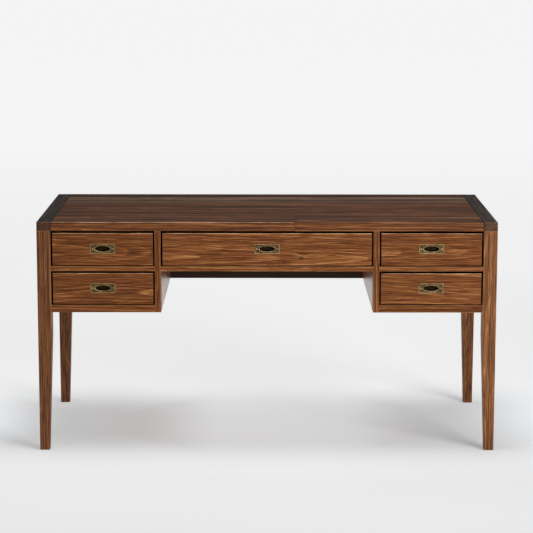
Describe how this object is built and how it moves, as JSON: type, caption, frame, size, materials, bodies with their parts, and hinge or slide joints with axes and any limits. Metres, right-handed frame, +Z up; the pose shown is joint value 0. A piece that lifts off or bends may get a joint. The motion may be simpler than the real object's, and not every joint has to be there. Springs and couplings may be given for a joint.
{
  "type": "campaign desk",
  "caption": "Pedestal writing desk with a plank top, dark end boards, tapered legs, inset drawers with flush brass pulls and an open knee hole.",
  "frame": {"origin": "on the floor, under the middle of the desk", "axes": "+X along the width to the viewer's right, -Y towards the person who sits at it, +Z up"},
  "size_m": [1.524, 0.712, 0.774],
  "materials": {
    "reclaimed_pine": "stained and waxed",
    "top_pine": "stained, worn by use",
    "dark_stained_pine": "dark stain",
    "drawer_pine": "planed, unfinished",
    "antique_brass": "aged"
  },
  "bodies": {
    "case": {"back_panel": "reclaimed_pine", "bank_runners": "drawer_pine", "center_runners": "drawer_pine", "drawer_stops": "drawer_pine", "end_board_left": "dark_stained_pine", "end_board_right": "dark_stained_pine", "knee_panel_left": "reclaimed_pine", "knee_panel_right": "reclaimed_pine", "leg_front_left": "reclaimed_pine", "leg_front_right": "reclaimed_pine", "leg_rear_left": "reclaimed_pine", "leg_rear_right": "reclaimed_pine", "pedestal_bottom_left": "drawer_pine", "pedestal_bottom_right": "drawer_pine", "rail_center": "reclaimed_pine", "rail_left": "reclaimed_pine", "rail_right": "reclaimed_pine", "side_panel_left": "reclaimed_pine", "side_panel_right": "reclaimed_pine", "sill_left": "reclaimed_pine", "sill_right": "reclaimed_pine", "stile_left": "reclaimed_pine", "stile_right": "reclaimed_pine", "top_cleats": "drawer_pine", "top_planks": "top_pine"},
    "left_upper_drawer": {"left_upper_drawer_back": "drawer_pine", "left_upper_drawer_bottom": "drawer_pine", "left_upper_drawer_front": "reclaimed_pine", "left_upper_drawer_pull": "antique_brass", "left_upper_drawer_pull_screws": "antique_brass", "left_upper_drawer_side_left": "drawer_pine", "left_upper_drawer_side_right": "drawer_pine"},
    "left_lower_drawer": {"left_lower_drawer_back": "drawer_pine", "left_lower_drawer_bottom": "drawer_pine", "left_lower_drawer_front": "reclaimed_pine", "left_lower_drawer_pull": "antique_brass", "left_lower_drawer_pull_screws": "antique_brass", "left_lower_drawer_side_left": "drawer_pine", "left_lower_drawer_side_right": "drawer_pine"},
    "right_upper_drawer": {"right_upper_drawer_back": "drawer_pine", "right_upper_drawer_bottom": "drawer_pine", "right_upper_drawer_front": "reclaimed_pine", "right_upper_drawer_pull": "antique_brass", "right_upper_drawer_pull_screws": "antique_brass", "right_upper_drawer_side_left": "drawer_pine", "right_upper_drawer_side_right": "drawer_pine"},
    "right_lower_drawer": {"right_lower_drawer_back": "drawer_pine", "right_lower_drawer_bottom": "drawer_pine", "right_lower_drawer_front": "reclaimed_pine", "right_lower_drawer_pull": "antique_brass", "right_lower_drawer_pull_screws": "antique_brass", "right_lower_drawer_side_left": "drawer_pine", "right_lower_drawer_side_right": "drawer_pine"},
    "center_drawer": {"center_drawer_back": "drawer_pine", "center_drawer_bottom": "drawer_pine", "center_drawer_front": "reclaimed_pine", "center_drawer_pull": "antique_brass", "center_drawer_pull_screws": "antique_brass", "center_drawer_side_left": "drawer_pine", "center_drawer_side_right": "drawer_pine"}
  },
  "joints": [
    {"name": "left_upper_drawer_slide", "type": "slide", "parent": "case", "child": "left_upper_drawer", "axis": [0, -1, 0], "range_m": [0, 0.43]},
    {"name": "left_lower_drawer_slide", "type": "slide", "parent": "case", "child": "left_lower_drawer", "axis": [0, -1, 0], "range_m": [0, 0.43]},
    {"name": "right_upper_drawer_slide", "type": "slide", "parent": "case", "child": "right_upper_drawer", "axis": [0, -1, 0], "range_m": [0, 0.43]},
    {"name": "right_lower_drawer_slide", "type": "slide", "parent": "case", "child": "right_lower_drawer", "axis": [0, -1, 0], "range_m": [0, 0.43]},
    {"name": "center_drawer_slide", "type": "slide", "parent": "case", "child": "center_drawer", "axis": [0, -1, 0], "range_m": [0, 0.43]}
  ]
}
